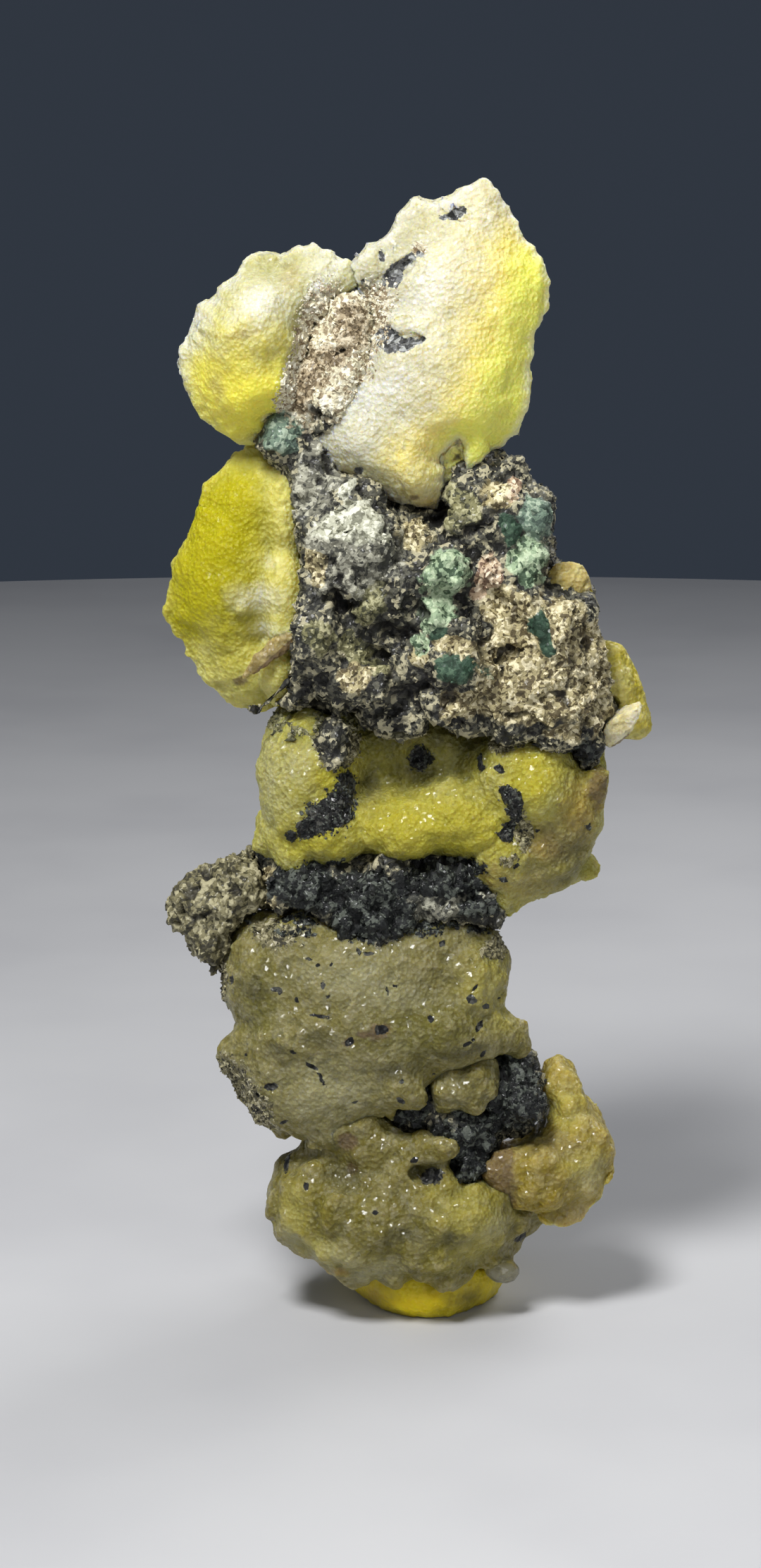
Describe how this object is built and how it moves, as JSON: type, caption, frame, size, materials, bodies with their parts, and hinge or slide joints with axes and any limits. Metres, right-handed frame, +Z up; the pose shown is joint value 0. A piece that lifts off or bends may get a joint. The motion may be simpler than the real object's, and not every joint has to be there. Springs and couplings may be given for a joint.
{
  "type": "brucite crystal specimen",
  "caption": "Upright mineral specimen: waxy yellow botryoidal brucite lobes grown on dark, green-spotted host rock, standing on a flat cut foot.",
  "frame": {"origin": "a point on the flat cut that the specimen rests on, near its middle", "axes": "+Z up along the specimen's height, +X to the right and +Y to the back as the main face is seen"},
  "size_m": [0.0507, 0.0314, 0.1195],
  "materials": {
    "host_rock": "rough, granular, with green, black and tan grains",
    "cream_brucite": "waxy, translucent, satin-white patches",
    "yellow_brucite": "waxy, translucent, fine sparkling grain",
    "amber_brucite": "dull, waxy",
    "white_brucite": "pearly",
    "olive_brucite": "waxy, translucent, with dark specks",
    "tan_crust": "dull, granular, pitted"
  },
  "bodies": {
    "root": {"host_rock": "host_rock", "crown_lobe": "cream_brucite", "shoulder_lobe": "cream_brucite", "fan_lobe": "yellow_brucite", "waist_lobes": "yellow_brucite", "rim_fin": "yellow_brucite", "foot_lobe": "yellow_brucite", "rim_chip": "amber_brucite", "white_blade": "white_brucite", "body_crust": "olive_brucite", "pocket_lobe": "olive_brucite", "side_lobe": "olive_brucite", "foot_crust": "olive_brucite", "side_knob": "tan_crust"}
  },
  "joints": []
}
